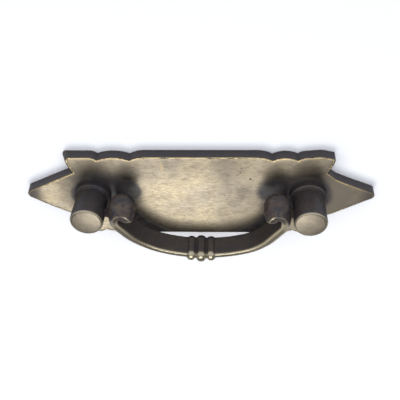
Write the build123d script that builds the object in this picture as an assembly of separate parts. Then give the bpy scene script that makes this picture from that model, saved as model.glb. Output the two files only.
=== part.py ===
from build123d import *
import math
import os

# Drop pull: a flat cast backplate with a notched outline, two turned posts riveted
# through it, and a cast bail that swings on two pins between the posts.
# Millimetres. X runs along the plate, Z up, and the plate's back lies on Y = 0 with
# the posts pointing towards -Y. The origin is the centre of the plate's back.

# Backplate
PLATE_THICKNESS = 3.9
PLATE_HALF_HEIGHT = 18.4
LEFT_LOBE_LENGTH = 11.3
RIGHT_LOBE_LENGTH = 8.7
INNER_NOTCH_DEPTH = 1.5
LEFT_EAR_LENGTH = 9.0
RIGHT_EAR_LENGTH = 10.6
OUTER_NOTCH_DEPTH = 1.4
LOBE_RISE = 1.2
PANEL_CORNER_RUN = 5.0
EAR_CREST_RUN = 2.5
EAR_CREST_DROP = 0.3
EAR_OVERHANG = 2.1
LEFT_EAR_RISE = -0.2
RIGHT_EAR_RISE = 0.7
LEFT_EAR_ROUND = 1.6
RIGHT_EAR_ROUND = 0.6
EAR_SIDE_HOLLOW = 0.35
LOWER_EAR_SETBACK = 0.5
LOWER_EAR_CORNER_DROP = 0.5
LOWER_EAR_ROUND = 1.6
SIDE_NOTCH_X = 44.3
UPPER_SIDE_NOTCH_Z = 11.1
LOWER_SIDE_NOTCH_Z = 9.6
TIP_X = 61.5
TIP_RISE = 1.1
TIP_ROUND = 2.0
FACE_EDGE_BEVEL = 0.25

# Posts
POST_SPACING = 76.2
POST_Z = 0.8
POST_LENGTH = 14.7
POST_BASE_RADIUS = 5.6
POST_END_FLARE = 0.25
POST_RIM_ROUND = 1.1
POST_END_CROWN = 0.35
LEFT_POST_LEAN = 3.0
RIGHT_POST_LEAN = 0.0
COLLAR_LEDGE = 0.9
COLLAR_HEIGHT = 2.3
COLLAR_ROUND = 0.7
TENON_RADIUS = 4.0
RIVET_SPREAD = 0.9
TENON_CLEARANCE = 0.03
SCREW_HOLE_RADIUS = 1.65
SCREW_HOLE_DEPTH = 9.0

# Bail
PIVOT_REACH = 9.1
REST_LEAN = 10.0
PIN_RADIUS = 1.5
PIN_ENGAGEMENT = 3.6
PIN_CLEARANCE = 0.08
PIN_END_GAP = 0.4
SIDE_PLAY = 0.4
BAIL_DROP = 24.9
BOW_THICKNESS = 3.2
SIDE_THICKNESS = 3.8
BOW_DEPTH = 7.8
SCROLL_DEPTH = 10.0
DEPTH_SHIFT = 0.5
TAPER_START_BELOW_PIVOT = 2.5
TAPER_END_BELOW_PIVOT = 16.2
TAPER_BEND_RADIUS = 25.0
BOW_ANGLE = 21.0
BOW_END_INSET = 16.91
BOW_SKEW = 2.0
SIDE_PAST_CHORD_ANGLE = 10.57
NECK_RADIUS = 8.0
NECK_BELOW_PIVOT = 0.9
NECK_SKEW = 0.8
SCROLL_HEIGHT = 5.2
HOOK_RADIUS = 4.4
KNOB_RADIUS = 3.1
KNOB_INSET = 7.0
KNOB_ROUND = 1.8
SCROLL_DOME_RADIUS = 6.5
SCROLL_DOME_SHIFT = 0.2
DOME_STEM = 9.0
OUTER_EDGE_ROUND = 1.8
INNER_EDGE_ROUND = 0.35
BEAD_PITCH = 3.8
BEAD_LAND = 0.4
MIDDLE_BEAD_WIDTH = 3.8
MIDDLE_BEAD_THICKNESS = 5.4
MIDDLE_BEAD_DEPTH = 10.0
SIDE_BEAD_WIDTH = 3.3
SIDE_BEAD_THICKNESS = 4.8
SIDE_BEAD_DEPTH = 9.5
BEAD_CORNER_ROUND = 2.0

# Places that follow from the sizes above
PLATE_FACE_Y = -PLATE_THICKNESS
EAR_CORNER_X = SIDE_NOTCH_X + EAR_OVERHANG
LOWER_EAR_CORNER_X = SIDE_NOTCH_X - LOWER_EAR_SETBACK
POST_X = POST_SPACING / 2
PIVOT_Y = PLATE_FACE_Y - PIVOT_REACH
POST_END_RADIUS = POST_BASE_RADIUS + POST_END_FLARE
POST_FLARE = POST_END_FLARE / (POST_LENGTH - COLLAR_HEIGHT)
POST_SIDE_RADIUS = POST_BASE_RADIUS + POST_FLARE * (PIVOT_REACH - COLLAR_HEIGHT)
COLLAR_RADIUS = POST_BASE_RADIUS + COLLAR_LEDGE
HOOK_X = POST_X - POST_SIDE_RADIUS - SIDE_PLAY
PIN_END_X = POST_X - POST_SIDE_RADIUS + PIN_ENGAGEMENT
KNOB_X = HOOK_X - KNOB_INSET
SCROLL_WIDTH = KNOB_INSET + KNOB_RADIUS
BOW_RADIUS = (HOOK_X - BOW_END_INSET) / math.sin(math.radians(BOW_ANGLE))
BOW_END_RISE = BOW_RADIUS * (1 - math.cos(math.radians(BOW_ANGLE)))
SIDE_CHORD_RISE = BAIL_DROP - NECK_BELOW_PIVOT - BOW_END_RISE
SIDE_CHORD_ANGLE = math.degrees(math.atan2(SIDE_CHORD_RISE, BOW_END_INSET))
SIDE_ANGLE = SIDE_CHORD_ANGLE + SIDE_PAST_CHORD_ANGLE
BOW_CENTRE_X = BOW_RADIUS * math.sin(math.radians(BOW_SKEW))
BOW_CENTRE_Z = -BAIL_DROP + BOW_RADIUS * math.cos(math.radians(BOW_SKEW))
SAME = 0.01


def plate_half_outline(lobe_length, ear_length, ear_rise):
    """Half of the backplate's outline, drawn on the right, from the top centre to the bottom one."""
    top = PLATE_HALF_HEIGHT
    outer_notch_x = SIDE_NOTCH_X - ear_length
    inner_notch_x = outer_notch_x - lobe_length
    panel_corner = (inner_notch_x - PANEL_CORNER_RUN, top)
    inner_notch = (inner_notch_x, top - INNER_NOTCH_DEPTH)
    lobe_chord_z = top - (INNER_NOTCH_DEPTH + OUTER_NOTCH_DEPTH) / 2
    lobe_crest = ((inner_notch_x + outer_notch_x) / 2, lobe_chord_z + LOBE_RISE)
    outer_notch = (outer_notch_x, top - OUTER_NOTCH_DEPTH)
    ear_crest = (outer_notch_x + EAR_CREST_RUN, top - EAR_CREST_DROP)
    ear_corner = (EAR_CORNER_X, top + ear_rise)
    lower_corner = (LOWER_EAR_CORNER_X, -top + LOWER_EAR_CORNER_DROP)
    side_notch = (SIDE_NOTCH_X, UPPER_SIDE_NOTCH_Z)
    lower_side_notch = (SIDE_NOTCH_X, -LOWER_SIDE_NOTCH_Z)

    def flipped(point):
        return (point[0], -point[1])

    def towards(start, end):
        return (end[0] - start[0], end[1] - start[1])

    def flank_end(notch):
        """Where the straight flank from a side notch meets the tip's arc as a tangent."""
        run = TIP_X - TIP_ROUND - notch[0]
        rise = abs(notch[1] - TIP_RISE)
        slope = math.atan2(rise, run) - math.asin(TIP_ROUND / math.hypot(run, rise))
        away = math.copysign(TIP_ROUND * math.cos(slope), notch[1])
        return (TIP_X - TIP_ROUND + TIP_ROUND * math.sin(slope), TIP_RISE + away)

    with BuildLine() as outline:
        Line((0, top), panel_corner)
        TangentArc(panel_corner, inner_notch, tangent=(1, 0))
        ThreePointArc(inner_notch, lobe_crest, outer_notch)
        TangentArc(ear_crest, outer_notch, tangent=towards(ear_corner, ear_crest))
        Line(ear_crest, ear_corner)
        SagittaArc(ear_corner, side_notch, EAR_SIDE_HOLLOW)
        Line(side_notch, flank_end(side_notch))
        ThreePointArc(flank_end(side_notch), (TIP_X, TIP_RISE), flank_end(lower_side_notch))
        Line(flank_end(lower_side_notch), lower_side_notch)
        Line(lower_side_notch, lower_corner)
        Line(lower_corner, flipped(ear_crest))
        TangentArc(
            flipped(ear_crest),
            flipped(outer_notch),
            tangent=towards(lower_corner, flipped(ear_crest)),
        )
        ThreePointArc(flipped(outer_notch), flipped(lobe_crest), flipped(inner_notch))
        TangentArc(flipped(panel_corner), flipped(inner_notch), tangent=(1, 0))
        Line(flipped(panel_corner), (0, -top))
    return outline.line


def make_half_plate(lobe_length, ear_length, ear_rise, ear_round):
    """Half of the backplate, drawn on the right, with its tenon hole."""
    hole_radius = TENON_RADIUS + TENON_CLEARANCE
    ear_z = PLATE_HALF_HEIGHT + ear_rise
    with BuildPart() as half:
        with BuildSketch(Plane.XZ) as face:
            with BuildLine():
                add(plate_half_outline(lobe_length, ear_length, ear_rise))
                Line((0, -PLATE_HALF_HEIGHT), (0, PLATE_HALF_HEIGHT))
            make_face()
            upper_ear = face.vertices().sort_by_distance((EAR_CORNER_X, ear_z))[0]
            fillet(upper_ear, ear_round)
            lower_ear = face.vertices().sort_by_distance((LOWER_EAR_CORNER_X, -PLATE_HALF_HEIGHT))[0]
            fillet(lower_ear, LOWER_EAR_ROUND)
        extrude(amount=PLATE_THICKNESS)
        front_edges = faces().sort_by(Axis.Y)[0].outer_wire().edges()
        chamfer(front_edges.filter_by(lambda e: (e @ 0.5).X > SAME), FACE_EDGE_BEVEL)
        with Locations(Location((POST_X, PLATE_FACE_Y / 2, POST_Z), (90, 0, 0))):
            Cylinder(hole_radius, 2 * PLATE_THICKNESS, mode=Mode.SUBTRACT)
        # The back of the hole is countersunk for the spread end of the tenon.
        with Locations(Location((POST_X, -RIVET_SPREAD / 2, POST_Z), (90, 0, 0))):
            Cone(hole_radius + RIVET_SPREAD, hole_radius, RIVET_SPREAD, mode=Mode.SUBTRACT)
    return half.part


def make_backplate():
    """Flat cast plate with scalloped long edges, ears and pointed ends; its halves differ a little."""
    right = make_half_plate(RIGHT_LOBE_LENGTH, RIGHT_EAR_LENGTH, RIGHT_EAR_RISE, RIGHT_EAR_ROUND)
    left = make_half_plate(LEFT_LOBE_LENGTH, LEFT_EAR_LENGTH, LEFT_EAR_RISE, LEFT_EAR_ROUND)
    return right + left.mirror(Plane.YZ)


def make_post(side, lean):
    """Turned post: a tenon spread into the plate's countersink, a collar and a slightly flared shaft.

    The lean is how far the shaft stands outwards from square, in degrees, as bent in use.
    """
    with BuildPart() as post:
        # The sections have the radius along X and the height above the plate's face along Y.
        with BuildSketch() as section:
            with BuildLine():
                Polyline(
                    (0, POST_LENGTH + POST_END_CROWN),
                    (0, -COLLAR_HEIGHT),
                    (COLLAR_RADIUS, -COLLAR_HEIGHT),
                    (COLLAR_RADIUS, COLLAR_HEIGHT),
                    (POST_BASE_RADIUS, COLLAR_HEIGHT),
                    (POST_END_RADIUS, POST_LENGTH),
                )
                TangentArc(
                    (0, POST_LENGTH + POST_END_CROWN),
                    (POST_END_RADIUS, POST_LENGTH),
                    tangent=(1, 0),
                )
            make_face()
            rim = section.vertices().sort_by_distance((POST_END_RADIUS, POST_LENGTH))[0]
            fillet(rim, POST_RIM_ROUND)
            collar_edge = section.vertices().sort_by_distance((COLLAR_RADIUS, COLLAR_HEIGHT))[0]
            fillet(collar_edge, COLLAR_ROUND)
        shaft = revolve(axis=Axis.Y, mode=Mode.PRIVATE).rotate(Axis.Z, lean)
        add(split(shaft, bisect_by=Plane.XZ, keep=Keep.BOTTOM, mode=Mode.PRIVATE))
        with BuildSketch():
            Polygon(
                (0, 0),
                (0, -PLATE_THICKNESS),
                (TENON_RADIUS + RIVET_SPREAD, -PLATE_THICKNESS),
                (TENON_RADIUS, -PLATE_THICKNESS + RIVET_SPREAD),
                (TENON_RADIUS, 0),
                align=None,
            )
        revolve(axis=Axis.Y)
        screw_hole_middle = -PLATE_THICKNESS + SCREW_HOLE_DEPTH / 2
        with Locations(Location((0, screw_hole_middle, 0), (90, 0, 0))):
            Cylinder(SCREW_HOLE_RADIUS, SCREW_HOLE_DEPTH, mode=Mode.SUBTRACT)
        # Blind cross hole for the bail's pin, drilled in from the +X side.
        hole_bottom = POST_SIDE_RADIUS - PIN_ENGAGEMENT - PIN_END_GAP
        hole_length = COLLAR_RADIUS + COLLAR_ROUND - hole_bottom
        with Locations(Location((hole_bottom + hole_length / 2, PIVOT_REACH, 0), (0, 90, 0))):
            Cylinder(PIN_RADIUS + PIN_CLEARANCE, hole_length, mode=Mode.SUBTRACT)
    # Turn the axis from +Y to -Y, with the cross hole facing the other post.
    turned = post.part.rotate(Axis.Z, 180) if side > 0 else post.part.rotate(Axis.X, 180)
    return turned.moved(Location((side * POST_X, PLATE_FACE_Y, POST_Z)))


def half_path(side, bow_inset, side_inset):
    """One edge of the band's half seen from the front, drawn on the right for either side.

    The pivot axis is at the height 0. The path runs from the middle of the bow, which is skewed
    a little to one side, up to the knob. The insets are from the outer edge, at the bow and at
    the sides. The shoulder's radius and the straight side's length follow, so that the way from
    the bow's end to the neck closes in width and in height.
    """
    hook_x = HOOK_X - side_inset
    neck_radius = NECK_RADIUS - side_inset
    neck_z = -NECK_BELOW_PIVOT - side * NECK_SKEW
    skew = math.radians(-side * BOW_SKEW)
    bow_end = math.radians(BOW_ANGLE)
    steep = math.radians(SIDE_ANGLE)
    start = (-bow_inset * math.sin(skew), -BAIL_DROP + bow_inset * math.cos(skew))
    along_start = (math.cos(skew), math.sin(skew))
    with BuildLine() as path:
        bow = JernArc(start, along_start, BOW_RADIUS - bow_inset, BOW_ANGLE + side * BOW_SKEW)
        width = hook_x - neck_radius * (1 - math.sin(steep)) - (bow @ 1).X
        height = neck_z - neck_radius * math.cos(steep) - (bow @ 1).Y
        arc_width = math.sin(steep) - math.sin(bow_end)
        arc_height = math.cos(bow_end) - math.cos(steep)
        scale_down = arc_width * math.sin(steep) - arc_height * math.cos(steep)
        shoulder_radius = (width * math.sin(steep) - height * math.cos(steep)) / scale_down
        side_length = (height * arc_width - width * arc_height) / scale_down
        shoulder = JernArc(bow @ 1, bow % 1, shoulder_radius, SIDE_ANGLE - BOW_ANGLE)
        straight = PolarLine(shoulder @ 1, side_length, SIDE_ANGLE)
        neck = JernArc(straight @ 1, straight % 1, neck_radius, 90 - SIDE_ANGLE)
        rise = Line(neck @ 1, (hook_x, SCROLL_HEIGHT - HOOK_RADIUS))
        hook = JernArc(rise @ 1, (0, 1), HOOK_RADIUS - side_inset, 90)
        Line(hook @ 1, (KNOB_X, SCROLL_HEIGHT - side_inset))
    return path.line


def depth_envelope():
    """Side view of the bail's depth: full at the scrolls, narrower along the bow."""
    scroll_half = SCROLL_DEPTH / 2
    bow_half = BOW_DEPTH / 2
    above = 2 * SCROLL_HEIGHT
    below = -2 * BAIL_DROP
    taper_start = -TAPER_START_BELOW_PIVOT
    taper_end = -TAPER_END_BELOW_PIVOT
    with BuildPart() as envelope:
        with BuildSketch(Plane.YZ) as view:
            Polygon(
                (-scroll_half, above),
                (-scroll_half, taper_start),
                (-bow_half, taper_end),
                (-bow_half, below),
                (bow_half, below),
                (bow_half, taper_end),
                (scroll_half, taper_start),
                (scroll_half, above),
                align=None,
            )
            bends = view.vertices().filter_by(lambda v: below + SAME < v.Y < above - SAME)
            fillet(bends, TAPER_BEND_RADIUS)
        extrude(amount=2 * POST_X, both=True)
    return envelope.part


def scroll_envelope():
    """What the rounded scrolls stay inside: a dome on an upright stem at each end, open below."""
    dome = scale(Sphere(1), by=(SCROLL_WIDTH / 2 + SAME, SCROLL_DOME_RADIUS, SCROLL_DOME_RADIUS))
    stem_outline = Plane.XY * Ellipse(SCROLL_WIDTH / 2 + SAME, SCROLL_DOME_RADIUS)
    bullet = dome + extrude(stem_outline, -DOME_STEM)
    below = Box(
        4 * POST_X,
        4 * SCROLL_DEPTH,
        2 * BAIL_DROP,
        align=(Align.CENTER, Align.CENTER, Align.MAX),
    )
    envelope = below.moved(Location((0, 0, -DOME_STEM)))
    for side in (-1, 1):
        envelope += bullet.moved(Location((side * (HOOK_X - SCROLL_WIDTH / 2), SCROLL_DOME_SHIFT, 0)))
    return envelope


def make_bead(thickness, depth, width, angle):
    """One ring bead round the bow, at an angle along it from the bow's middle."""
    with BuildPart() as bead:
        with BuildSketch(Plane.YZ):
            RectangleRounded(depth, thickness, BEAD_CORNER_ROUND)
        extrude(amount=width / 2, both=True)
        end_faces = faces().filter_by(Axis.X)
        fillet(end_faces.edges(), (width - BEAD_LAND) / 2)
    on_bow = bead.part.moved(Location((0, 0, -BOW_RADIUS + BOW_THICKNESS / 2)))
    return on_bow.rotate(Axis.Y, BOW_SKEW - angle).moved(Location((BOW_CENTRE_X, 0, BOW_CENTRE_Z)))


def make_knob(side):
    """Rounded end that the band's scroll rolls into."""
    with BuildPart() as knob:
        with BuildSketch(Plane.XZ):
            with Locations((side * KNOB_X, SCROLL_HEIGHT - KNOB_RADIUS + SAME)):
                Circle(KNOB_RADIUS)
        extrude(amount=SCROLL_DEPTH / 2 + SAME, both=True)
        fillet(edges().filter_by(GeomType.CIRCLE), KNOB_ROUND)
    return knob.part


def make_bail():
    """Cast bail: a bowed band with domed scroll ends, three beads at the bottom and two pins."""
    outer = {side: half_path(side, 0, 0) for side in (-1, 1)}
    inner = {side: half_path(side, BOW_THICKNESS, SIDE_THICKNESS) for side in (-1, 1)}
    with BuildPart() as band:
        with BuildSketch(Plane.XZ):
            for side in (-1, 1):
                with BuildLine() as outline:
                    add(outer[side])
                    add(inner[side])
                    Line(outer[side] @ 1, inner[side] @ 1)
                    Line(outer[side] @ 0, inner[side] @ 0)
                half = make_face(outline.line, mode=Mode.PRIVATE)
                add(half if side > 0 else half.mirror(Plane.YZ))
        extrude(amount=SCROLL_DEPTH, both=True)
    body = band.part & depth_envelope()

    def along(paths):
        """Front and back edges of the band that follow its outer or its inner paths."""

        def follows(edge):
            middle = edge.position_at(0.5)
            flat = Vertex(abs(middle.X), middle.Z, 0)
            path = paths[1 if middle.X > 0 else -1]
            return abs(edge.tangent_at(0.5).Y) < 0.9 and path.distance_to(flat) < SAME

        return body.edges().filter_by(follows)

    body = body.fillet(OUTER_EDGE_ROUND, along(outer))
    body = body.fillet(INNER_EDGE_ROUND, along(inner))
    for side in (-1, 1):
        body += make_knob(side)
    body = body & scroll_envelope()
    bead_angle = math.degrees(BEAD_PITCH / BOW_RADIUS)
    body += make_bead(MIDDLE_BEAD_THICKNESS, MIDDLE_BEAD_DEPTH, MIDDLE_BEAD_WIDTH, 0)
    for side in (-1, 1):
        body += make_bead(SIDE_BEAD_THICKNESS, SIDE_BEAD_DEPTH, SIDE_BEAD_WIDTH, side * bead_angle)
    body = body.moved(Location((0, DEPTH_SHIFT, 0)))
    pin_length = PIN_END_X - HOOK_X + SIDE_THICKNESS / 2
    for side in (-1, 1):
        pin_middle = side * (PIN_END_X - pin_length / 2)
        body += Cylinder(PIN_RADIUS, pin_length).moved(Location((pin_middle, 0, 0), (0, 90, 0)))
    return body.rotate(Axis.X, REST_LEAN).moved(Location((0, PIVOT_Y, POST_Z)))


os.makedirs("parts", exist_ok=True)
pieces = {
    "backplate": make_backplate(),
    "post_left": make_post(-1, LEFT_POST_LEAN),
    "post_right": make_post(1, RIGHT_POST_LEAN),
    "bail": make_bail(),
}
for name, piece in pieces.items():
    export_step(piece, f"parts/{name}.step")
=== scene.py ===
import math

import bmesh
import bpy
import numpy as np
from mathutils import Matrix, Vector, noise
from mathutils.kdtree import KDTree


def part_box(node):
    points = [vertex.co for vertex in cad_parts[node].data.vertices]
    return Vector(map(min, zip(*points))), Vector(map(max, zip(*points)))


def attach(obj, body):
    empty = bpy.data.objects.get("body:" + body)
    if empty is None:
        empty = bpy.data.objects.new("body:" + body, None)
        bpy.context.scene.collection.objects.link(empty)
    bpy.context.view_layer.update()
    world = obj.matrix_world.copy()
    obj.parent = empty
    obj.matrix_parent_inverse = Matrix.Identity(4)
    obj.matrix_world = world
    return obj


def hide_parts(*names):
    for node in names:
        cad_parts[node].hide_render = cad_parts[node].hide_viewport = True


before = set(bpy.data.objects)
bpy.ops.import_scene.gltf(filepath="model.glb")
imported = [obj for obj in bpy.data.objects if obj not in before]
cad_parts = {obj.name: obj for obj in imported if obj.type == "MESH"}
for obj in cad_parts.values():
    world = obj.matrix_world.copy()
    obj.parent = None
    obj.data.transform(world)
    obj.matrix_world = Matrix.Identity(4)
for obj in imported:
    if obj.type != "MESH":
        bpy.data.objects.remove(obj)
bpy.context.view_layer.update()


# Camera
# The plate's face is seen from in front and 44 degrees above, almost straight on, with the
# view tipped a little to one side.
VIEW_AZIMUTH = math.radians(2.62)
VIEW_ELEVATION = math.radians(43.80)
VIEW_ROLL = math.radians(1.62)
VIEW_DISTANCE = 0.279
AIM_ASIDE = -0.00007
AIM_DOWN = 0.00117
LENS_MM = 70.65
SENSOR_MM = 36.0

plate_low, plate_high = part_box("backplate")
away = Vector(
    (
        -math.sin(VIEW_AZIMUTH) * math.cos(VIEW_ELEVATION),
        math.cos(VIEW_AZIMUTH) * math.cos(VIEW_ELEVATION),
        -math.sin(VIEW_ELEVATION),
    )
)
level_right = Vector((math.cos(VIEW_AZIMUTH), math.sin(VIEW_AZIMUTH), 0))
level_down = away.cross(level_right)
right = math.cos(VIEW_ROLL) * level_right + math.sin(VIEW_ROLL) * level_down
down = -math.sin(VIEW_ROLL) * level_right + math.cos(VIEW_ROLL) * level_down
aim = Vector((0, plate_low.y, 0)) + AIM_ASIDE * right + AIM_DOWN * down

camera_data = bpy.data.cameras.new("camera")
camera_data.lens = LENS_MM
camera_data.sensor_width = SENSOR_MM
camera_data.clip_start = 0.01
camera_data.clip_end = 20
camera = bpy.data.objects.new("camera", camera_data)
bpy.context.scene.collection.objects.link(camera)
turn = Matrix((right, -down, -away)).transposed()
camera.matrix_world = Matrix.Translation(aim - VIEW_DISTANCE * away) @ turn.to_4x4()
bpy.context.scene.camera = camera


# Light and backdrop
# A sheet of white paper lies against the plate's back. The light is one large soft lamp out
# in front and below, a little to the left, and a dim pale surround, brighter above.
LAMP_DIRECTION = Vector((-0.08, -0.86, -0.50)).normalized()
LAMP_DISTANCE = 0.7
LAMP_SIZE = 0.42
LAMP_POWER = 1.40
SURROUND_HEIGHTS = (-0.45, 0.55)
SURROUND_STRENGTHS = (0.16, 0.74)
SURROUND_COLOUR = "#e9ecf6"
SHEET_HALF = 0.6
SHEET_GAP = 0.0002
# How pale the paper is where it lights the brass, where the brass mirrors it and where the camera
# sees it. Within PAPER_TOUCH of the plate's back it lets light through, so that the back isn't black.
PAPER_PALE = 0.9
PAPER_MIRRORED = 1.3
PAPER_SEEN = 1.83
PAPER_TOUCH = 0.0006
SMOOTH = {"interpolation_type": "SMOOTHSTEP"}


def linear(hex_colour):
    """The linear RGBA of an sRGB hex colour."""
    parts = [int(hex_colour[i : i + 2], 16) / 255 for i in (1, 3, 5)]
    return [c / 12.92 if c <= 0.04045 else ((c + 0.055) / 1.055) ** 2.4 for c in parts] + [1]


def node(tree, kind, inputs=(), output=0, **settings):
    """Adds a shader node with its settings, and gives back one of its outputs.

    The inputs are values or other nodes' outputs, in the node's own order or by name or number.
    """
    made = tree.nodes.new("ShaderNode" + kind)
    for name, value in settings.items():
        setattr(made, name, value)
    for name, value in inputs.items() if isinstance(inputs, dict) else enumerate(inputs):
        if isinstance(value, bpy.types.NodeSocket):
            tree.links.new(value, made.inputs[name])
        else:
            made.inputs[name].default_value = value
    return made.outputs[output] if made.outputs else None


def new_material(name):
    """An empty material and its node tree."""
    made = bpy.data.materials.new(name)
    made.use_nodes = True
    made.node_tree.nodes.clear()
    return made, made.node_tree


lamp_data = bpy.data.lights.new("soft_lamp", "AREA")
lamp_data.shape = "SQUARE"
lamp_data.size = LAMP_SIZE
lamp_data.energy = LAMP_POWER
lamp = bpy.data.objects.new("soft_lamp", lamp_data)
bpy.context.scene.collection.objects.link(lamp)
lamp.location = LAMP_DIRECTION * LAMP_DISTANCE
lamp.rotation_mode = "QUATERNION"
lamp.rotation_quaternion = LAMP_DIRECTION.to_track_quat("Z", "Y")

world = bpy.data.worlds.new("pale_surround")
world.use_nodes = True
bpy.context.scene.world = world
tree = world.node_tree
tree.nodes.clear()
direction = node(tree, "TexCoord", output="Generated")
height = node(tree, "SeparateXYZ", (direction,), output="Z")
strength = node(tree, "MapRange", (height, *SURROUND_HEIGHTS, *SURROUND_STRENGTHS), **SMOOTH)
camera_ray = node(tree, "LightPath", output="Is Camera Ray")
through_ray = node(tree, "LightPath", output="Is Transmission Ray")
seen = node(tree, "Math", (camera_ray, through_ray), operation="MAXIMUM")
soft = node(tree, "Background", {"Color": linear(SURROUND_COLOUR), "Strength": strength})
white = node(tree, "Background", {"Color": (1, 1, 1, 1), "Strength": 1.0})
node(tree, "OutputWorld", {"Surface": node(tree, "MixShader", (seen, soft, white))})

sheet_mesh = bpy.data.meshes.new("backdrop_sheet")
sheet_corners = [(x * SHEET_HALF, SHEET_GAP, z * SHEET_HALF) for x, z in ((-1, -1), (1, -1), (1, 1), (-1, 1))]
sheet_mesh.from_pydata(sheet_corners, [], [(0, 1, 2, 3)])
backdrop = bpy.data.objects.new("backdrop_sheet", sheet_mesh)
bpy.context.scene.collection.objects.link(backdrop)
paper, tree = new_material("white_paper")
camera_ray = node(tree, "LightPath", output="Is Camera Ray")
glossy_ray = node(tree, "LightPath", output="Is Glossy Ray")
ray_length = node(tree, "LightPath", output="Ray Length")
mirrored = node(tree, "MapRange", (glossy_ray, 0.0, 1.0, PAPER_PALE, PAPER_MIRRORED))
paleness = node(tree, "Mix", {0: camera_ray, 2: mirrored, 3: PAPER_SEEN})
close_by = node(tree, "Math", (ray_length, PAPER_TOUCH), operation="LESS_THAN")
from_behind = node(tree, "NewGeometry", output="Backfacing")
unseen = node(tree, "Math", (from_behind, close_by), operation="MAXIMUM")
lit = node(tree, "BsdfDiffuse", {"Color": paleness})
clear = node(tree, "BsdfTransparent")
node(tree, "OutputMaterial", {"Surface": node(tree, "MixShader", (unseen, lit, clear))})
sheet_mesh.materials.append(paper)


# Backplate
# The flat plate is cast in brass and filed to its outline, and lies against the drawer. Its
# face was brushed and has lost most of its dark patina, which its edges have kept.
PLATE_CELL = 0.00045
FACE_DEPTH = 0.0004
EDGE_ANGLE = math.radians(30)
SHARP_ANGLE = math.radians(50)
WELD = 2e-6
# The face's rim is nicked, and its flat sinks and rises a little.
RIM_REACH = 0.0006
RIM_NICK = 0.00012
NICK_SIZE = 0.0016
NICK_FINE = 0.0006
SAG = 0.00006
SAG_SIZE = 0.016
SAG_FINE = 0.005
# The outline is filed by eye: an ear hangs, the wings sit low and one ear's flank is cut at a slant.
EAR_PLACE = Vector((0.0470, 0.0, 0.0180))
EAR_REACH = 0.0060
EAR_HANG = 0.0016
WING_STARTS = (0.0440, 0.0475)
RIGHT_WING_TIP = (0.050, 0.061)
RIGHT_WING_MIDDLE_Z = (-0.002, 0.004)
RIGHT_WING_TOP_Z = 0.0115
LEFT_WING_LOWER_Z = (0.001, -0.005)
WING_SINK = 0.0006
FLARE_PLACE = Vector((-0.0450, 0.0, 0.0165))
FLARE_REACH = 0.0070
FLARE = 0.0015
# Behind the bail and the posts the face is painted dark as the shade and reflection they cast on it, partly
# patina that polish can't reach, further out at the sides.
SHADE_FULL = 0.0003
SHADE_FADE = 0.0013
SHADE_WIDENS = 0.0010
SHADE_SIDES = (0.008, 0.020)
SHADE_RIGHT = (0.010, 0.018)


def joined_copy(cad_name, name):
    """A new object with a copy of a CAD node's mesh, its loose triangles joined, and that mesh as a bmesh."""
    made = bpy.data.objects.new(name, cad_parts[cad_name].data.copy())
    bpy.context.scene.collection.objects.link(made)
    work = bmesh.new()
    work.from_mesh(made.data)
    bmesh.ops.remove_doubles(work, verts=work.verts, dist=WELD)
    return made, work


def positions(mesh):
    """The vertices' places as an array."""
    flat = np.empty(len(mesh.vertices) * 3, np.float32)
    mesh.vertices.foreach_get("co", flat)
    return flat.reshape(-1, 3).astype(float)


def normals(mesh):
    """The vertices' normals as an array."""
    flat = np.empty(len(mesh.vertices) * 3, np.float32)
    mesh.vertex_normals.foreach_get("vector", flat)
    return flat.reshape(-1, 3).astype(float)


def set_positions(mesh, places):
    """Moves the vertices to those places."""
    mesh.vertices.foreach_set("co", places.astype(np.float32).ravel())
    mesh.update()


def store(mesh, name, values):
    """Keeps one value for each vertex as an attribute that the material reads."""
    mesh.attributes.new(name, "FLOAT", "POINT").data.foreach_set("value", np.asarray(values, np.float32))


def noise_at(places, size, seed):
    """Smooth noise from -1 to 1 at each place, with that feature size."""
    return np.array([noise.noise(Vector(p / size) + Vector((seed, 0, 0))) for p in places])


def step(low, high, value):
    """0 below low, 1 above high and a smooth rise between."""
    t = np.clip((value - low) / (high - low), 0, 1)
    return t * t * (3 - 2 * t)


def distances(places, others):
    """How far each place is from the nearest of the others."""
    finder = KDTree(len(others))
    for k, place in enumerate(others):
        finder.insert(place, k)
    finder.balance()
    return np.array([finder.find(p)[2] for p in places])


def around(places, centre, reach):
    """1 at the centre, falling smoothly to 0 at that reach from it, seen from the front."""
    return 1 - step(0, reach, np.hypot(places[:, 0] - centre.x, places[:, 2] - centre.z))


plate, work = joined_copy("backplate", "backplate_cast")
bmesh.ops.dissolve_limit(work, angle_limit=math.radians(0.5), verts=work.verts, edges=work.edges)
for axis in (0, 2, 1):
    steps = max(4, round((plate_high[axis] - plate_low[axis]) / PLATE_CELL))
    for k in range(1, steps):
        cut = Vector((0, 0, 0))
        cut[axis] = plate_low[axis] + (plate_high[axis] - plate_low[axis]) * k / steps
        across = Vector((0, 0, 0))
        across[axis] = 1
        whole = work.verts[:] + work.edges[:] + work.faces[:]
        bmesh.ops.bisect_plane(work, geom=whole, dist=1e-6, plane_co=cut, plane_no=across)
bmesh.ops.triangulate(work, faces=[f for f in work.faces if len(f.verts) > 4])
rim = []
for edge in work.edges:
    middle = (edge.verts[0].co + edge.verts[1].co) / 2
    at_face = middle.y < plate_low.y + 1e-5
    if at_face and len(edge.link_faces) == 2 and edge.calc_face_angle(0) > EDGE_ANGLE:
        rim.append(middle)
work.to_mesh(plate.data)
work.free()

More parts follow.
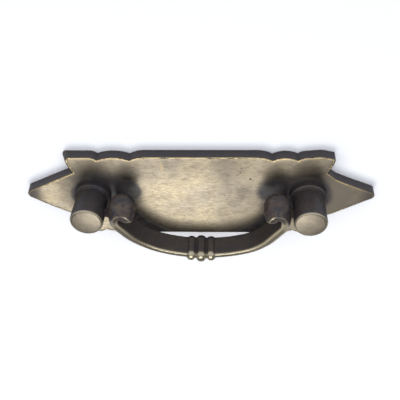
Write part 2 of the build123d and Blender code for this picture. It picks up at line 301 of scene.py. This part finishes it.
# The nicks, the sag and what the file took off or left, all within the cast blank.
places = positions(plate.data)
outward = normals(plate.data)
x, y, z = places.T
front = y < plate_low.y + FACE_DEPTH
from_rim = distances(places, rim)
nick = np.clip(noise_at(places, NICK_SIZE, 21.0) + 0.5 * noise_at(places, NICK_FINE, 5.0), 0, 1)
near_rim = 1 - step(0, RIM_REACH, from_rim)
moved = places - outward * (RIM_NICK * near_rim * (0.35 + nick) * front)[:, None]
sinks = noise_at(places, SAG_SIZE, 3.0) + 0.4 * noise_at(places, SAG_FINE, 8.0)
moved[:, 1] += SAG * (0.5 + 0.5 * np.clip(sinks, -1, 1)) * front
moved[:, 2] -= EAR_HANG * around(places, EAR_PLACE, EAR_REACH)
right_wing = step(*WING_STARTS, x) * (1 - 0.4 * step(*RIGHT_WING_TIP, x)) * (z < RIGHT_WING_TOP_Z)
moved[:, 2] -= WING_SINK * right_wing * (1 + step(*RIGHT_WING_MIDDLE_Z, z))
moved[:, 2] -= WING_SINK * step(*WING_STARTS, -x) * step(*LEFT_WING_LOWER_Z, z)
moved[:, 0] -= FLARE * around(places, FLARE_PLACE, FLARE_REACH) * (1 - y / plate_low.y)
set_positions(plate.data, moved)

# The face behind the bail and the posts, painted dark as their shade and reflection on it, partly patina.
shade_casters = [v.co for name in ("bail", "post_left", "post_right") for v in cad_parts[name].data.vertices]
behind = distances([(p[0], 0, p[2]) for p in places], [(p.x, 0, p.z) for p in shade_casters])
fade = SHADE_FADE + SHADE_WIDENS * (step(*SHADE_SIDES, np.abs(x)) + 1.2 * step(*SHADE_RIGHT, x))
store(plate.data, "from_rim", from_rim)
store(plate.data, "painted_shade_behind", step(fade, SHADE_FULL, behind) * front)
store(plate.data, "face", (outward[:, 1] < -0.85) & front)
store(plate.data, "back", outward[:, 1] > 0.85)
plate.data.polygons.foreach_set("use_smooth", [True] * len(plate.data.polygons))
plate.data.set_sharp_from_angle(angle=SHARP_ANGLE)

# The marks on the face, each a pair of end points (x, z): scratches cut down to bright brass,
# and pits left by the casting, the deepest of them by itself.
PALE_SCRATCHES = [((0.0000, -0.0082), (0.0028, -0.0144)), ((-0.0100, 0.0018), (-0.0073, -0.0027))]
DEEP_SCRATCH = [((-0.0139, 0.0170), (-0.0130, 0.0148)), ((-0.0130, 0.0148), (-0.0128, 0.0112))]
DEEP_PIT = [((0.0175, 0.0086), (0.0177, 0.0086))]
SMALL_PITS = [
    ((0.0141, 0.0115), (0.0141, 0.0117)),
    ((0.0146, 0.0136), (0.0143, 0.0133)),
    ((0.0129, 0.0104), (0.0130, 0.0104)),
    ((0.0087, 0.0005), (0.0087, 0.0007)),
    ((-0.0061, -0.0097), (-0.0059, -0.0097)),
]


def pattern(tree, coords, size_mm, detail, roughness, seed=0.0, stretch=(1, 1, 1), distortion=0.0):
    """Noise from 0 to 1 in object space with features of that size, drawn out where stretch is under 1."""
    inputs = {"Vector": coords, "Scale": stretch, "Location": (seed, seed, seed)}
    placed = node(tree, "Mapping", inputs)
    inputs = {"Vector": placed, "Scale": 1000 / size_mm, "Detail": detail}
    inputs.update({"Roughness": roughness, "Distortion": distortion})
    return node(tree, "TexNoise", inputs)


def from_marks(tree, coords, marks):
    """The distance to the nearest of those marks on the plate's face."""
    nearest = 1.0
    for start, end in marks:
        first = Vector((start[0], plate_low.y, start[1]))
        along = Vector((end[0], plate_low.y, end[1])) - first
        length = max(along.length, 1e-6)
        way = node(tree, "VectorMath", (coords, first), operation="SUBTRACT")
        share = node(tree, "VectorMath", (way, along / length**2), output="Value", operation="DOT_PRODUCT")
        share = node(tree, "Clamp", (share,))
        foot = node(tree, "VectorMath", {0: along, "Scale": share}, operation="SCALE")
        gap = node(tree, "VectorMath", (way, foot), output="Value", operation="DISTANCE")
        nearest = node(tree, "Math", (gap, nearest), operation="MINIMUM")
    return nearest


# Cast brass, brushed and then patinated. Where it is freshly worn it is yellow and clear,
# handling dulls it to a grey beige with a fine grain along the plate, and what nobody
# touches stays brown-black and hardly shines. The same brown-black is painted as the shade
# and reflection of the posts, scrolls and bail on the face. The plate's back is as it was cast.
BRASS_PALE = linear("#c9bb9d")
BRASS_BEIGE = linear("#beb39e")
BRASS_BLOTCH = linear("#aa9d84")
BRASS_LINES = linear("#8f8272")
BRASS_GREY = linear("#857c6e")
BRASS_WORN = linear("#d6c091")
BRASS_SCRATCHED = linear("#f2e4ba")
BRASS_CUT = linear("#e8b566")
PATINA_BROWN = linear("#4f4743")
PATINA_BLACK = linear("#464449")
CAST_LIGHT = linear("#8c7a58")
CAST_DARK = linear("#6a5b45")
# Clouds and blotches of patina, the lines of the brush and specks, by size. The real lines are
# a quarter as wide, and are drawn as coarse as they need to show.
CLOUD_MM = 11.0
BLOTCH_MM = 2.4
LINE_MM = 0.4
SPECK_MM = 0.7
# Where the face starts to darken and is darkest: x for the right half, right wing and left tip, z for the
# top.
RIGHT_HALF = (0.001, 0.010)
RIGHT_WING = (0.038, 0.050)
LEFT_TIP = (-0.055, -0.0595)
TOP_BAND = (0.002, 0.016)
TOP_FADE = (0.006, 0.022)
BOTH_TIPS = (0.0550, 0.0600)
RIM_LINE = (0.0006, 0.0002)
CRUST_FROM = (0.002, -0.004)
# The black patch round each post and scroll, lower on the right than on the left, painted shade and
# reflection of the post and scroll on the face, partly patina.
PATCH_X = 0.0335
PATCH_WIDE = 0.0125
PATCH_TALL = 0.0105
PATCH_MIDDLE = (-0.01, 0.01)
PATCH_Z = (0.0015, -0.0007)
PATCH_OUTSIDE = (0.036, 0.044)

worn_brass, tree = new_material("worn_brass")
coords = node(tree, "TexCoord", output="Object")
x_place = node(tree, "SeparateXYZ", (coords,), output="X")
z_place = node(tree, "SeparateXYZ", (coords,), output="Z")
from_middle = node(tree, "Math", (x_place,), operation="ABSOLUTE")
rim_distance = node(tree, "Attribute", output="Fac", attribute_name="from_rim")
painted_shade_behind = node(tree, "Attribute", output="Fac", attribute_name="painted_shade_behind")
face = node(tree, "Attribute", output="Fac", attribute_name="face")
back = node(tree, "Attribute", output="Fac", attribute_name="back")
cloud = pattern(tree, coords, CLOUD_MM, 4.0, 0.6)
blotch = pattern(tree, coords, BLOTCH_MM, 5.0, 0.68, 4.0, (0.6, 1, 1))
brush = pattern(tree, coords, LINE_MM, 5.0, 0.8, 9.0, (0.22, 1, 1), 0.3)
speck = pattern(tree, coords, SPECK_MM, 2.0, 0.5, 2.0)

# The patch: a ring of lighter painted shade round its black middle, mostly on its outer side.
aside = node(tree, "Math", (from_middle, PATCH_X), operation="SUBTRACT")
patch_z = node(tree, "MapRange", (x_place, *PATCH_MIDDLE, *PATCH_Z), **SMOOTH)
above = node(tree, "Math", (z_place, patch_z), operation="SUBTRACT")
wide = node(tree, "Math", (aside, PATCH_WIDE), operation="DIVIDE")
tall = node(tree, "Math", (above, PATCH_TALL), operation="DIVIDE")
spread = node(tree, "CombineXYZ", (wide, tall))
spread = node(tree, "VectorMath", (spread,), output="Value", operation="LENGTH")
wander = node(tree, "MapRange", (cloud, 0.3, 0.7, -0.15, 0.15), **SMOOTH)
from_patch = node(tree, "Math", (spread, wander), operation="ADD")
patch_shade_ring = node(tree, "MapRange", (from_patch, 1.6, 0.95, 0.0, 0.8), **SMOOTH)
outside = node(tree, "MapRange", (from_middle, *PATCH_OUTSIDE, 0.25, 1.0), **SMOOTH)
patch_shade_ring = node(tree, "Math", (patch_shade_ring, outside), operation="MULTIPLY")

# How much the face is darkened: most on the right half, the wings' ends and the left of the top, then patina
# in blotches and clouds, with the patches' painted shade, and none along the bright rim.
right_half = node(tree, "MapRange", (x_place, *RIGHT_HALF, 0.0, 0.36), **SMOOTH)
right_wing = node(tree, "MapRange", (x_place, *RIGHT_WING, 0.0, 0.50), **SMOOTH)
left_tip = node(tree, "MapRange", (x_place, *LEFT_TIP, 0.0, 0.9), **SMOOTH)
darkening = node(tree, "Math", (right_half, right_wing), operation="ADD")
darkening = node(tree, "Math", (darkening, left_tip), operation="MAXIMUM")
top_band = node(tree, "MapRange", (z_place, *TOP_BAND, 0.0, 1.0), **SMOOTH)
top_fade = node(tree, "MapRange", (x_place, *TOP_FADE, 0.5, 0.1), **SMOOTH)
near_top = node(tree, "Math", (top_band, top_fade), operation="MULTIPLY")
blotches = node(tree, "MapRange", (blotch, 0.48, 0.78, 0.0, 0.30), **SMOOTH)
clouds = node(tree, "MapRange", (cloud, 0.52, 0.80, 0.0, 0.45), **SMOOTH)
for more in (near_top, blotches, clouds, patch_shade_ring):
    darkening = node(tree, "Math", (darkening, more), operation="ADD")
by_rim = node(tree, "MapRange", (rim_distance, *RIM_LINE, 0.0, 1.0), **SMOOTH)
broken_rim = node(tree, "MapRange", (blotch, 0.30, 0.55, 0.4, 1.0), **SMOOTH)
rim_bright = node(tree, "Math", (by_rim, broken_rim), operation="MULTIPLY")
rim_clean = node(tree, "MapRange", (rim_bright, 0.0, 1.0, 1.0, 0.2), **SMOOTH)
darkening = node(tree, "Math", (darkening, rim_clean), operation="MULTIPLY")

# What is wholly black: the tips, the patches and the face behind the bail and posts, which are painted shade
# and reflection, partly patina, and the pits.
grime_and_shade = node(tree, "MapRange", (from_middle, *BOTH_TIPS, 0.0, 0.6), **SMOOTH)
# The patches' black middles, painted shade and reflection, partly patina.
in_patch_shade = node(tree, "MapRange", (from_patch, 1.15, 0.6, 0.0, 1.0), **SMOOTH)
# The painted shade and reflection behind the bail and posts, laid on unevenly.
uneven_cover = node(tree, "MapRange", (blotch, 0.30, 0.60, 0.8, 1.0), **SMOOTH)
in_painted_shade = node(tree, "Math", (painted_shade_behind, uneven_cover), operation="MULTIPLY")
for more in (in_patch_shade, in_painted_shade):
    grime_and_shade = node(tree, "Math", (grime_and_shade, more), operation="MAXIMUM")
covered = node(tree, "Math", (grime_and_shade, 0.97), operation="MULTIPLY")
pits = node(tree, "MapRange", (speck, 0.75, 0.80, 0.0, 1.0), **SMOOTH)
for marks, edge, full, depth in ((DEEP_PIT, 0.00042, 0.00025, 1.0), (SMALL_PITS, 0.00030, 0.00010, 0.8)):
    pit = node(tree, "MapRange", (from_marks(tree, coords, marks), edge, full, 0.0, depth), **SMOOTH)
    pits = node(tree, "Math", (pits, pit), operation="MAXIMUM")
black = node(tree, "Math", (pits, covered), operation="MAXIMUM")
bare = node(tree, "Math", (1.0, black), operation="SUBTRACT")
on_face = node(tree, "Math", (face, bare), operation="MULTIPLY")

# The bare metal's colour, each tone laid over those before it.
metal = BRASS_PALE
for source, low, high, most, tone in (
    (cloud, 0.38, 0.60, 1.0, BRASS_BEIGE),
    (blotch, 0.42, 0.68, 0.45, BRASS_BLOTCH),
    (brush, 0.44, 0.62, 0.66, BRASS_LINES),
):
    amount = node(tree, "MapRange", (source, low, high, 0.0, most), **SMOOTH)
    metal = node(tree, "Mix", {0: amount, 6: metal, 7: tone}, output=2, data_type="RGBA")
for amount, tone in ((darkening, BRASS_GREY), (rim_bright, BRASS_WORN)):
    metal = node(tree, "Mix", {0: amount, 6: metal, 7: tone}, output=2, data_type="RGBA")
broken = node(tree, "MapRange", (blotch, 0.38, 0.6, 0.1, 0.5), **SMOOTH)
for marks, edge, full, tone in (
    (PALE_SCRATCHES, 0.00020, 0.00006, BRASS_SCRATCHED),
    (DEEP_SCRATCH, 0.00024, 0.00008, BRASS_CUT),
):
    scratch = node(tree, "MapRange", (from_marks(tree, coords, marks), edge, full, 0.0, 1.0), **SMOOTH)
    amount = node(tree, "Math", (scratch, broken), operation="MULTIPLY")
    metal = node(tree, "Mix", {0: amount, 6: metal, 7: tone}, output=2, data_type="RGBA")

browner = node(tree, "MapRange", (blotch, 0.35, 0.7, 0.0, 1.0), **SMOOTH)
patina = node(tree, "Mix", {0: browner, 6: PATINA_BLACK, 7: PATINA_BROWN}, output=2, data_type="RGBA")
darker = node(tree, "MapRange", (blotch, 0.35, 0.65, 0.0, 1.0), **SMOOTH)
as_cast = node(tree, "Mix", {0: darker, 6: CAST_LIGHT, 7: CAST_DARK}, output=2, data_type="RGBA")
colour = node(tree, "Mix", {0: on_face, 6: patina, 7: metal}, output=2, data_type="RGBA")
colour = node(tree, "Mix", {0: back, 6: colour, 7: as_cast}, output=2, data_type="RGBA")

# The shine: duller where the face is darker and in the brush's lines, and none on the crust low in the
# painted shade behind the bail.
metallic = node(tree, "MapRange", (on_face, 0.0, 1.0, 0.15, 1.0), **SMOOTH)
by_patina = node(tree, "MapRange", (darkening, 0.0, 1.0, 0.30, 0.40), **SMOOTH)
by_lines = node(tree, "MapRange", (brush, 0.3, 0.8, 0.0, 0.08), **SMOOTH)
roughness = node(tree, "Math", (by_patina, by_lines), operation="ADD")
# Low down in that painted shade the face is rough and hardly shines.
deep_in_shade = node(tree, "MapRange", (painted_shade_behind, 0.3, 1.0, 0.0, 1.0), **SMOOTH)
low_down = node(tree, "MapRange", (z_place, *CRUST_FROM, 0.0, 1.0), **SMOOTH)
crust = node(tree, "Math", (deep_in_shade, low_down), operation="MULTIPLY")
crust_roughness = node(tree, "Math", (crust, 0.85), operation="MULTIPLY")
roughness = node(tree, "Math", (roughness, crust_roughness), operation="MAXIMUM")
shine = node(tree, "MapRange", (crust, 0.0, 1.0, 0.5, 0.1), **SMOOTH)
line_height = node(tree, "Math", (brush, 0.35), operation="MULTIPLY")
blotch_height = node(tree, "Math", (blotch, 0.35), operation="MULTIPLY")
relief = node(tree, "Math", (line_height, blotch_height), operation="ADD")
relief = node(tree, "Bump", {"Height": relief, "Strength": 0.5, "Distance": 0.00006})
surface = {"Base Color": colour, "Metallic": metallic, "Roughness": roughness, "Normal": relief}
surface["Specular IOR Level"] = shine
node(tree, "OutputMaterial", {"Surface": node(tree, "BsdfPrincipled", surface)})

plate.data.materials.clear()
plate.data.materials.append(worn_brass)
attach(plate, "base")
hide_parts("backplate")


# Posts
# Two turned brass posts, each with a collar, are riveted through the plate. Their shafts are
# dark, and their ends are rubbed back to a dull beige with a bright rim.
POST_VOXEL = 0.00017
POST_END_Y = -0.0186
COLLAR_TOP_Y = -0.0062
# Depths behind the end's middle within which it is handled and within which its rim is bright.
END_STARTS = (0.0024, 0.0012)
RIM_DEPTH = 0.0025
END_WEAR = 0.84
RIM_WEAR = 0.9
# Where the bail hides a post, and the posts hide the bail, no hand reaches the metal.
REACH_NONE = 0.0012
REACH_ALL = 0.0026
# The left post's end is a little shorter than the right one's.
LEFT_END_BACK = 0.0006
LEFT_END_FROM = (-0.0150, -0.0175)


def remeshed(cad_name, name, voxel):
    """A copy of a CAD node with an even, fine mesh."""
    made, work = joined_copy(cad_name, name)
    work.to_mesh(made.data)
    work.free()
    remesh = made.modifiers.new("even", "REMESH")
    remesh.mode = "VOXEL"
    remesh.voxel_size = voxel
    bpy.context.view_layer.update()
    fine = bpy.data.meshes.new_from_object(made.evaluated_get(bpy.context.evaluated_depsgraph_get()))
    made.modifiers.clear()
    made.data = fine
    fine.polygons.foreach_set("use_smooth", [True] * len(fine.polygons))
    return made


def smoothed(mesh, rounds, values=None):
    """The vertices' places, or the values given, evened out with their neighbours that many times."""
    ends = np.empty(len(mesh.edges) * 2, np.int32)
    mesh.edges.foreach_get("vertices", ends)
    first, second = ends.reshape(-1, 2).T
    count = len(mesh.vertices)
    number = np.bincount(first, minlength=count) + np.bincount(second, minlength=count)
    smooth = positions(mesh) if values is None else values
    for _ in range(rounds):
        total = np.empty_like(smooth)
        for axis in range(smooth.shape[1]):
            total[:, axis] = np.bincount(first, smooth[second, axis], count)
            total[:, axis] += np.bincount(second, smooth[first, axis], count)
        smooth = 0.5 * smooth + 0.5 * total / number[:, None]
    return smooth


def convexity(mesh, rounds):
    """How far each vertex stands out, in millimetres, from the surface evened out that many times."""
    return 1000 * ((positions(mesh) - smoothed(mesh, rounds)) * normals(mesh)).sum(1)


def closeness(places, names):
    """1 where a place is too near to those CAD nodes to be reached, 0 where it is clear of them."""
    others = [v.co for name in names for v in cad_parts[name].data.vertices]
    return step(REACH_ALL, REACH_NONE, distances(places, others))


# Brass with a dark patina, cast or turned. Where hands rub it the patina is gone and a dull
# beige metal shows, brightest on arrises and rims, and the patina is browner in patches. On the bail
# the beige is also painted on the side the lamp lights, and the brightest tone is partly a painted highlight.
BRASS_HANDLED = linear("#a79b89")
BRASS_DULL = linear("#beb19a")
BRASS_POLISH_AND_HIGHLIGHT = linear("#e3d6b6")
PATINA_WARM = linear("#8a725c")
PATINA_THIN = linear("#65584e")
DARK_CLOUD_MM = 6.0
DARK_BLOTCH_MM = 1.6
DARK_GRAIN_MM = 0.45

dark_brass, tree = new_material("dark_brass")
coords = node(tree, "TexCoord", output="Object")
worn_and_lit = node(tree, "Attribute", output="Fac", attribute_name="worn_and_lit")
bright_wear_and_highlight = node(tree, "Attribute", output="Fac", attribute_name="bright_wear_and_highlight")
polished = node(tree, "Attribute", output="Fac", attribute_name="polished")
hidden = node(tree, "Attribute", output="Fac", attribute_name="hidden")
brown = node(tree, "Attribute", output="Fac", attribute_name="brown")
cloud = pattern(tree, coords, DARK_CLOUD_MM, 3.0, 0.6, 1.0)
blotch = pattern(tree, coords, DARK_BLOTCH_MM, 5.0, 0.65, 6.0)
grain = pattern(tree, coords, DARK_GRAIN_MM, 3.0, 0.6, 3.0)

in_clouds = node(tree, "MapRange", (cloud, 0.40, 0.68, 0.0, 1.0), **SMOOTH)
in_blotches = node(tree, "MapRange", (blotch, 0.42, 0.60, 0.0, 1.0), **SMOOTH)
browned = node(tree, "Math", (brown, in_blotches), operation="MULTIPLY")
thinned = node(tree, "MapRange", (blotch, 0.46, 0.66, 0.0, 0.5), **SMOOTH)
patina = PATINA_BLACK
for amount, tone in ((in_clouds, PATINA_BROWN), (browned, PATINA_WARM), (thinned, PATINA_THIN)):
    patina = node(tree, "Mix", {0: amount, 6: patina, 7: tone}, output=2, data_type="RGBA")

coarse_part = node(tree, "Math", (blotch, 0.6), operation="MULTIPLY")
fine_part = node(tree, "Math", (grain, 0.4), operation="MULTIPLY")
patchy = node(tree, "Math", (coarse_part, fine_part), operation="ADD")
left_over = node(tree, "MapRange", (patchy, 0.35, 0.60, 0.88, 1.0), **SMOOTH)
# Rubbed metal, which on the bail is also painted on the side the lamp lights.
rubbed_and_lit = node(tree, "Math", (worn_and_lit, left_over), operation="MULTIPLY")
flecks = node(tree, "MapRange", (grain, 0.74, 0.84, 0.0, 0.35), **SMOOTH)
rubbed_and_lit = node(tree, "Math", (rubbed_and_lit, flecks), operation="ADD")
reached = node(tree, "MapRange", (hidden, 0.0, 1.0, 1.0, 0.0), **SMOOTH)
rubbed_and_lit = node(tree, "Math", (rubbed_and_lit, reached), operation="MULTIPLY")

metal = BRASS_HANDLED
for source, low, high, most, tone in (
    (cloud, 0.30, 0.65, 1.0, BRASS_DULL),
    (blotch, 0.50, 0.75, 0.35, BRASS_GREY),
    (grain, 0.45, 0.65, 0.4, BRASS_GREY),
):
    amount = node(tree, "MapRange", (source, low, high, 0.0, most), **SMOOTH)
    metal = node(tree, "Mix", {0: amount, 6: metal, 7: tone}, output=2, data_type="RGBA")
# The palest metal where the wear is brightest, partly a painted highlight.
metal = node(tree, "Mix", {0: bright_wear_and_highlight, 6: metal, 7: BRASS_POLISH_AND_HIGHLIGHT}, output=2, data_type="RGBA")
colour = node(tree, "Mix", {0: rubbed_and_lit, 6: patina, 7: metal}, output=2, data_type="RGBA")

metallic = node(tree, "MapRange", (rubbed_and_lit, 0.0, 1.0, 0.25, 1.0), **SMOOTH)
by_wear = node(tree, "MapRange", (rubbed_and_lit, 0.0, 1.0, 0.38, 0.33), **SMOOTH)
by_grain = node(tree, "MapRange", (grain, 0.3, 0.8, 0.0, 0.10), **SMOOTH)
smoother = node(tree, "Math", (polished, 0.16), operation="MULTIPLY")
matt = node(tree, "MapRange", (hidden, 0.0, 1.0, 0.3, 0.9), **SMOOTH)
roughness = node(tree, "Math", (by_wear, by_grain), operation="ADD")
roughness = node(tree, "Math", (roughness, smoother), operation="SUBTRACT")
roughness = node(tree, "Math", (roughness, matt), operation="MAXIMUM")
shine = node(tree, "MapRange", (hidden, 0.0, 1.0, 0.5, 0.05), **SMOOTH)
relief = node(tree, "Bump", {"Height": patchy, "Strength": 0.6, "Distance": 0.00008})
surface = {"Base Color": colour, "Metallic": metallic, "Roughness": roughness, "Normal": relief}
surface["Specular IOR Level"] = shine
node(tree, "OutputMaterial", {"Surface": node(tree, "BsdfPrincipled", surface)})

# The collars' rims are painted paler, the right one more than the left, partly wear and partly a painted
# highlight.
for word, collar_wear_and_highlight in (("left", 0.13), ("right", 0.43)):
    post = remeshed(f"post_{word}", f"post_{word}_turned", POST_VOXEL)
    places = positions(post.data)
    y = places[:, 1]
    outward = normals(post.data)
    faces_out = -outward[:, 1]
    end_from, end_full = (POST_END_Y + depth for depth in END_STARTS)
    at_end = step(end_from, end_full, y) * step(0.55, 0.80, faces_out)
    rim_line = step(0.40, 0.65, faces_out) * step(0.985, 0.90, faces_out) * (y < POST_END_Y + RIM_DEPTH)
    collar = step(0.02, 0.05, convexity(post.data, 10)) * (y >= COLLAR_TOP_Y) * collar_wear_and_highlight
    store(post.data, "worn_and_lit", np.clip(np.maximum(at_end * END_WEAR, rim_line) + collar, 0, 1))
    store(post.data, "bright_wear_and_highlight", rim_line * RIM_WEAR)
    store(post.data, "polished", rim_line * RIM_WEAR)
    store(post.data, "hidden", closeness(places, ["bail"]))
    if word == "left":
        places[:, 1] += LEFT_END_BACK * step(*LEFT_END_FROM, y)
        set_positions(post.data, places)
    post.data.materials.clear()
    post.data.materials.append(dark_brass)
    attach(post, "base")
    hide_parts(f"post_{word}")


# Bail
# The cast brass bail hangs on two pins between the posts. It is dark except along its front and lower side,
# painted lighter partly as handled wear and partly as the side the lamp lights, on its arris and the ends of
# its beads, where painted highlights lie over the wear, and round its rolled scrolls.
BAIL_VOXEL = 0.0002
# Where the scrolls are: from this height up, and no further out than this.
SCROLL_FROM_Z = (-0.0012, 0.0012)
SCROLL_TO_X = (0.0330, 0.0318)
SCROLL_FRONT_Y = (-0.0176, -0.0158)
SCROLL_TOP_Z = (0.0030, 0.0042)
# How far an arris or a bead stands out, in millimetres, where the wear and its painted highlight start and
# where they are full.
ARRIS_MM = (0.010, 0.034)
SWELL_MM = (0.03, 0.16)
# The sides of the bow, where the wear is broad and less polished than at its bottom, with a broad painted
# highlight; the painted highlight dims towards the left and the bow is painted paler towards the right.
RIGHT_SIDE = (0.0140, 0.0220)
LEFT_SIDE = (-0.0200, -0.0270)
LEFT_HIGHLIGHT_DIM = (-0.0310, -0.0210)
BOW_HIGHLIGHT_PALER = (-0.010, 0.020)

# The whole casting is a little soft, and the fronts of its scrolls are rounded far more.
bail = remeshed("bail", "bail_cast", BAIL_VOXEL)
x, y, z = positions(bail.data).T
scroll = step(*SCROLL_FROM_Z, z) * step(*SCROLL_TO_X, np.abs(x))
round_top = scroll * step(*SCROLL_FRONT_Y, y)
set_positions(bail.data, smoothed(bail.data, 4))
places = positions(bail.data)
set_positions(bail.data, places + (smoothed(bail.data, 60) - places) * round_top[:, None])

places = positions(bail.data)
x, y, z = places.T
outward = normals(bail.data)
# The faces turned front and down, toward the lamp, are painted as rubbed metal: partly handled wear, partly
# the lit side painted lighter, while the faces turned up stay dark.
front = step(0.0, 0.75, -outward[:, 1])
below = step(0.0, 0.7, -outward[:, 2])
handled_and_lit = np.maximum(front, below)
swell = step(*SWELL_MM, convexity(bail.data, 40))
arris = step(*ARRIS_MM, convexity(bail.data, 8)) * (1 - scroll * step(*SCROLL_TOP_Z, z))
near_arris = np.clip(smoothed(bail.data, 24, (arris * handled_and_lit)[:, None])[:, 0] * 1.6, 0, 1)
worn_and_lit = 0.80 * handled_and_lit + 0.5 * swell * handled_and_lit + 0.9 * arris * handled_and_lit + 0.5 * near_arris
worn_scroll = 0.10 * (0.5 + 0.5 * noise_at(places, 0.0022, 31.0)) + 0.9 * arris * front
store(bail.data, "worn_and_lit", np.clip(worn_and_lit + (worn_scroll - worn_and_lit) * scroll, 0, 1))

# The bow is brightest along its arris, a painted highlight over the wear, dimmer to the left and paler to the
# right. At its sides the wear is broad and duller, under a broad painted highlight.
bow = 1 - scroll
right_side = step(*RIGHT_SIDE, x) * bow
left_side = step(*LEFT_SIDE, x) * bow
along = np.maximum(0.45 + 0.55 * step(*LEFT_HIGHLIGHT_DIM, x), scroll)
bright_wear_and_highlight = (arris * front + 0.4 * swell * front * bow) * along
bright_wear_and_highlight += 0.4 * handled_and_lit * bow * (0.4 + 0.6 * step(*BOW_HIGHLIGHT_PALER, x))
polished = np.clip(bright_wear_and_highlight, 0, 1) * (1 - right_side) - 1.5 * near_arris * (right_side + left_side)
store(bail.data, "polished", polished)
store(bail.data, "bright_wear_and_highlight", np.clip(bright_wear_and_highlight + near_arris * (right_side + 0.7 * left_side), 0, 1))
store(bail.data, "brown", scroll * step(-0.8, 0.5, noise_at(places, 0.0035, 12.0)) * 0.65)
faces_plate = step(-0.15, 0.35, outward[:, 1])
store(bail.data, "hidden", np.maximum(closeness(places, ["post_left", "post_right"]), faces_plate))
bail.data.materials.clear()
bail.data.materials.append(dark_brass)
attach(bail, "bail")
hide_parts("bail")


# View
# The colours are shown as they are lit.
bpy.context.scene.view_settings.view_transform = "Standard"
